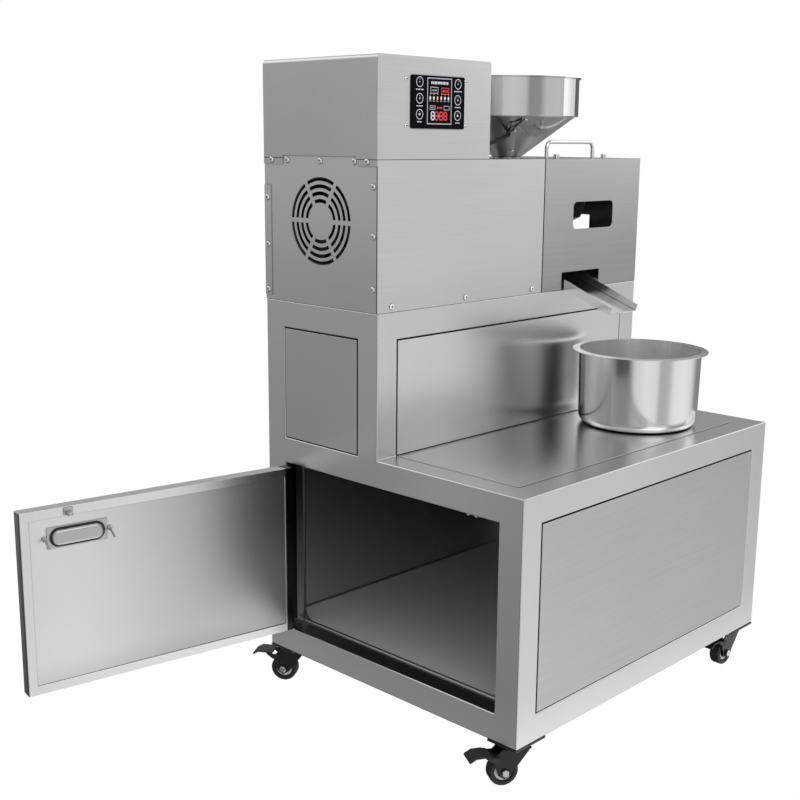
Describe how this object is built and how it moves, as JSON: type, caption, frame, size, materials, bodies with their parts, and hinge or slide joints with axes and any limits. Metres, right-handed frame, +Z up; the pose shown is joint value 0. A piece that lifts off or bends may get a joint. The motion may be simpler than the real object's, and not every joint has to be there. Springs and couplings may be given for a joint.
{
  "type": "screw oil press",
  "caption": "Tabletop-height screw oil press in a stepped stainless cabinet on casters, door open, with touch panel, hopper, chute and bowl.",
  "frame": {"origin": "on the floor under the cabinet's centre, midway between its ends and between its front and back", "axes": "+X to the right seen from the front, +Y to the back, +Z up"},
  "size_m": [0.9993, 0.5177, 0.921],
  "materials": {
    "frame_steel": "brushed",
    "panel_steel": "brushed",
    "shelf_steel": "brushed, half gloss",
    "housing_steel": "fine brushed",
    "door_steel": "fine brushed",
    "hopper_steel": "polished drum, satin funnel",
    "bowl_steel": "polished",
    "chute_steel": "satin",
    "pull_steel": "satin",
    "hinge_steel": "satin",
    "catch_metal": "polished",
    "screw_steel": "polished",
    "handle_chrome": "polished",
    "press_steel": "machined",
    "band_brass": "satin",
    "motor_paint": "satin",
    "gearbox_paint": "satin",
    "fan_plastic": "matte",
    "touch_glass": "gloss",
    "board": "satin",
    "inlet_plastic": "satin",
    "cable_rubber": "satin",
    "gasket_rubber": "matte",
    "caster_steel": "black, satin",
    "caster_rubber": "matte with a white ring",
    "pedal_plastic": "matte"
  },
  "bodies": {
    "cabinet": {"cabinet_frame": "frame_steel", "front_panel": "panel_steel", "shelf_panel": "shelf_steel", "pedestal_panel": "shelf_steel", "end_panels": "panel_steel", "back_panel": "panel_steel", "deck_panel": "panel_steel", "floor_plate": "panel_steel", "door_stop": "panel_steel", "caster_plates": "caster_steel", "hinge_leaf_frame": "hinge_steel", "roller_catch": "catch_metal", "machine_base": "housing_steel", "body_cover": "housing_steel", "rear_cover": "housing_steel", "fan_end_panel": "housing_steel", "bulkhead": "housing_steel", "housing_screws": "screw_steel", "control_box": "housing_steel", "control_panel": "touch_glass", "control_board": "board", "power_inlet": "inlet_plastic", "fan_frame": "fan_plastic", "motor": "motor_paint", "gearbox": "gearbox_paint", "press_barrel": "press_steel", "press_head": "press_steel", "press_supports": "press_steel", "heater_band": "band_brass", "oil_chute": "chute_steel", "hopper": "hopper_steel", "hopper_seat": "housing_steel", "hopper_terminals": "screw_steel", "hopper_cable": "cable_rubber"},
    "door": {"door_pan": "door_steel", "door_lining": "door_steel", "door_pull": "pull_steel", "pull_plate": "pull_steel", "pull_gasket": "gasket_rubber", "catch_strike": "catch_metal", "hinge_leaf_door": "hinge_steel"},
    "fan": {"fan_rotor": "fan_plastic"},
    "press_drive": {"drive_coupling": "press_steel", "press_screw": "press_steel"},
    "press_cover_body": {"press_cover": "housing_steel", "cover_handle": "handle_chrome", "cover_knobs": "handle_chrome"},
    "bowl_body": {"bowl": "bowl_steel"},
    "caster_front_left_swivel": {"caster_front_left_fork": "caster_steel"},
    "caster_front_left_roller": {"caster_front_left_wheel": "caster_rubber"},
    "caster_front_left_brake": {"caster_front_left_pedal": "pedal_plastic"},
    "caster_front_right_swivel": {"caster_front_right_fork": "caster_steel"},
    "caster_front_right_roller": {"caster_front_right_wheel": "caster_rubber"},
    "caster_front_right_brake": {"caster_front_right_pedal": "pedal_plastic"},
    "caster_back_left_swivel": {"caster_back_left_fork": "caster_steel"},
    "caster_back_left_roller": {"caster_back_left_wheel": "caster_rubber"},
    "caster_back_left_brake": {"caster_back_left_pedal": "pedal_plastic"},
    "caster_back_right_swivel": {"caster_back_right_fork": "caster_steel"},
    "caster_back_right_roller": {"caster_back_right_wheel": "caster_rubber"},
    "caster_back_right_brake": {"caster_back_right_pedal": "pedal_plastic"}
  },
  "joints": [
    {"name": "door_hinge", "type": "hinge", "parent": "cabinet", "child": "door", "pos_m": [-0.303, 0.1995, 0.227], "axis": [0, 0, 1], "range_deg": [-75, 100]},
    {"name": "fan_spin", "type": "hinge", "parent": "cabinet", "child": "fan", "pos_m": [-0.288, 0.123, 0.706], "axis": [1, 0, 0], "continuous": true},
    {"name": "screw_spin", "type": "hinge", "parent": "cabinet", "child": "press_drive", "pos_m": [0.14, 0.126, 0.717], "axis": [1, 0, 0], "continuous": true},
    {"name": "cover_lift", "type": "slide", "parent": "cabinet", "child": "press_cover_body", "axis": [0, 0, 1], "range_m": [0, 0.012]},
    {"name": "bowl_slide", "type": "slide", "parent": "cabinet", "child": "bowl_body", "axis": [0, -1, 0], "range_m": [0, 0.08]},
    {"name": "caster_front_left_swivel_joint", "type": "hinge", "parent": "cabinet", "child": "caster_front_left_swivel", "pos_m": [-0.27, -0.215, 0.052], "axis": [0, 0, 1], "continuous": true},
    {"name": "caster_front_left_roll", "type": "hinge", "parent": "caster_front_left_swivel", "child": "caster_front_left_roller", "pos_m": [-0.28645, -0.2055, 0.02], "axis": [-0.5, -0.866, 0], "continuous": true},
    {"name": "caster_front_left_brake_joint", "type": "hinge", "parent": "caster_front_left_swivel", "child": "caster_front_left_brake", "pos_m": [-0.29685, -0.1995, 0.039], "axis": [-0.5, -0.866, 0], "range_deg": [0, 15]},
    {"name": "caster_front_right_swivel_joint", "type": "hinge", "parent": "cabinet", "child": "caster_front_right_swivel", "pos_m": [0.27, -0.215, 0.052], "axis": [0, 0, 1], "continuous": true},
    {"name": "caster_front_right_roll", "type": "hinge", "parent": "caster_front_right_swivel", "child": "caster_front_right_roller", "pos_m": [0.25101, -0.21434, 0.02], "axis": [-0.0349, -0.9994, 0], "continuous": true},
    {"name": "caster_front_right_brake_joint", "type": "hinge", "parent": "caster_front_right_swivel", "child": "caster_front_right_brake", "pos_m": [0.23902, -0.21392, 0.039], "axis": [-0.0349, -0.9994, 0], "range_deg": [0, 15]},
    {"name": "caster_back_left_swivel_joint", "type": "hinge", "parent": "cabinet", "child": "caster_back_left_swivel", "pos_m": [-0.27, 0.215, 0.052], "axis": [0, 0, 1], "continuous": true},
    {"name": "caster_back_left_roll", "type": "hinge", "parent": "caster_back_left_swivel", "child": "caster_back_left_roller", "pos_m": [-0.28007, 0.23111, 0.02], "axis": [-0.848, -0.5299, 0], "continuous": true},
    {"name": "caster_back_left_brake_joint", "type": "hinge", "parent": "caster_back_left_swivel", "child": "caster_back_left_brake", "pos_m": [-0.28643, 0.24129, 0.039], "axis": [-0.848, -0.5299, 0], "range_deg": [0, 15]},
    {"name": "caster_back_right_swivel_joint", "type": "hinge", "parent": "cabinet", "child": "caster_back_right_swivel", "pos_m": [0.27, 0.215, 0.052], "axis": [0, 0, 1], "continuous": true},
    {"name": "caster_back_right_roll", "type": "hinge", "parent": "caster_back_right_swivel", "child": "caster_back_right_roller", "pos_m": [0.25215, 0.2085, 0.02], "axis": [0.342, -0.9397, 0], "continuous": true},
    {"name": "caster_back_right_brake_joint", "type": "hinge", "parent": "caster_back_right_swivel", "child": "caster_back_right_brake", "pos_m": [0.24087, 0.2044, 0.039], "axis": [0.342, -0.9397, 0], "range_deg": [0, 15]}
  ]
}
